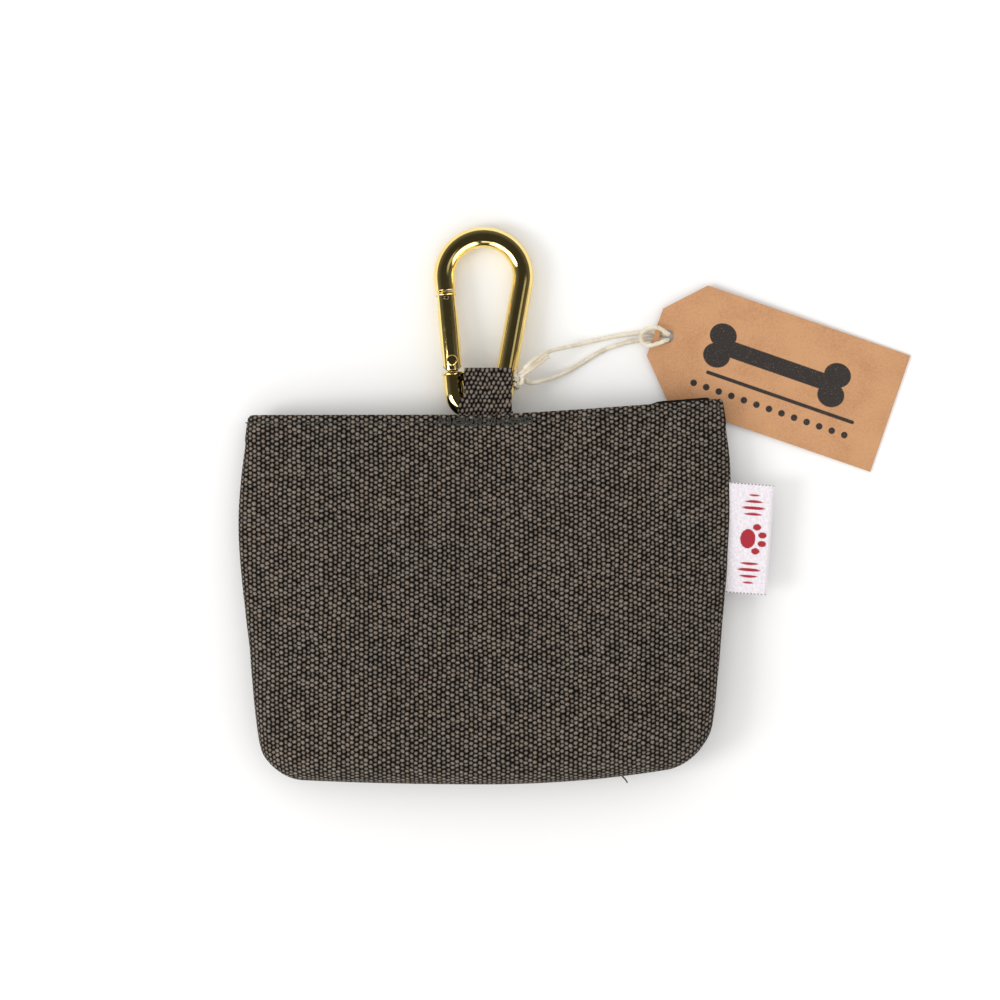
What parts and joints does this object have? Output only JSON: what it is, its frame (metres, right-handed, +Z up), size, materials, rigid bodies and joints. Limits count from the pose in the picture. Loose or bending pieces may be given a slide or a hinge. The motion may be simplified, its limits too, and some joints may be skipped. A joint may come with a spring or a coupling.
{
  "type": "treat pouch",
  "caption": "Canvas treat pouch with a loose lining, magnetic snap mouth, woven side label, strap loop, sprung snap hook and card hang tag.",
  "frame": {"origin": "middle of the flat of the back panel, where the pouch lies on a surface", "axes": "+Z up, out of the surface the pouch lies on; +Y from the base to the mouth and the hook; +X to the labelled side"},
  "size_m": [0.202, 0.1672, 0.0217],
  "materials": {
    "canvas": "heavy plain-woven duck, mottled black and grey-brown yarns",
    "webbing": "coarse folded canvas webbing",
    "lining": "black coated nylon",
    "thread": "black bonded sewing thread",
    "gold_plate": "polished gold-coloured plating",
    "spring_steel": "bright spring steel",
    "nickel": "nickel plate",
    "magnet": "sintered magnet",
    "stiffener": "non-woven stiffening patch",
    "label": "folded damask-woven label, white with a red motif",
    "kraft_card": "uncoated brown kraft card",
    "cotton_string": "twisted natural cotton"
  },
  "bodies": {
    "pouch_back": {"back_panel": "canvas", "back_lining": "lining", "back_topstitch": "thread", "base_seam_thread": "thread", "left_seam_thread": "thread", "right_seam_thread": "thread", "side_label": "label", "snap_socket_plate": "nickel", "snap_socket_cup": "nickel", "snap_magnet": "magnet", "socket_stiffener": "stiffener", "socket_washer": "nickel"},
    "front_wall": {"front_panel": "canvas", "front_lining": "lining", "front_topstitch": "thread", "strap_bartack": "thread", "strap_tail": "webbing", "snap_stud": "nickel", "stud_stiffener": "stiffener", "stud_washer": "nickel"},
    "strap": {"strap_loop": "webbing"},
    "hook": {"hook_body": "gold_plate", "pivot_rivet": "gold_plate", "tag_knot": "cotton_string", "tag_string_near_a": "cotton_string", "tag_string_near_b": "cotton_string"},
    "gate": {"gate": "gold_plate", "latch_pin": "gold_plate", "gate_spring": "spring_steel"},
    "plunger": {"gate_plunger": "spring_steel"},
    "tag": {"tag_card": "kraft_card", "tag_string_far": "cotton_string"}
  },
  "joints": [
    {"name": "mouth_open", "type": "hinge", "parent": "pouch_back", "child": "front_wall", "pos_m": [0, -0.0552, 0.0105], "axis": [1, 0, 0], "range_deg": [0, 18]},
    {"name": "strap_swing", "type": "hinge", "parent": "front_wall", "child": "strap", "pos_m": [0, 0.0557, 0.0124], "axis": [1, 0, 0], "range_deg": [0, 60]},
    {"name": "hook_slide", "type": "slide", "parent": "strap", "child": "hook", "axis": [0.0419, 0.9991, 0], "range_m": [0, 0.006]},
    {"name": "gate_open", "type": "hinge", "parent": "hook", "child": "gate", "pos_m": [-0.0099, 0.07147, 0.00665], "axis": [-0.0038, -0.091, -0.9958], "range_deg": [0, 28], "stiffness_Nm_per_rad": 0.08, "springref_deg": -34.38},
    {"name": "plunger_slide", "type": "slide", "parent": "gate", "child": "plunger", "axis": [-0.0913, 0.9917, -0.0903], "range_m": [0, 0.0008], "deforming": ["gate_spring"]},
    {"name": "tag_swing", "type": "hinge", "parent": "hook", "child": "tag", "pos_m": [0.0406, 0.07804, 0.0008], "axis": [0, 0, 1], "range_deg": [0, 60], "deforming": ["tag_string_near_a", "tag_string_near_b", "tag_string_far"]}
  ],
  "couplings": [
    {"joint": "plunger_slide", "follows": "gate_open", "m_per_rad": 0.00123}
  ]
}
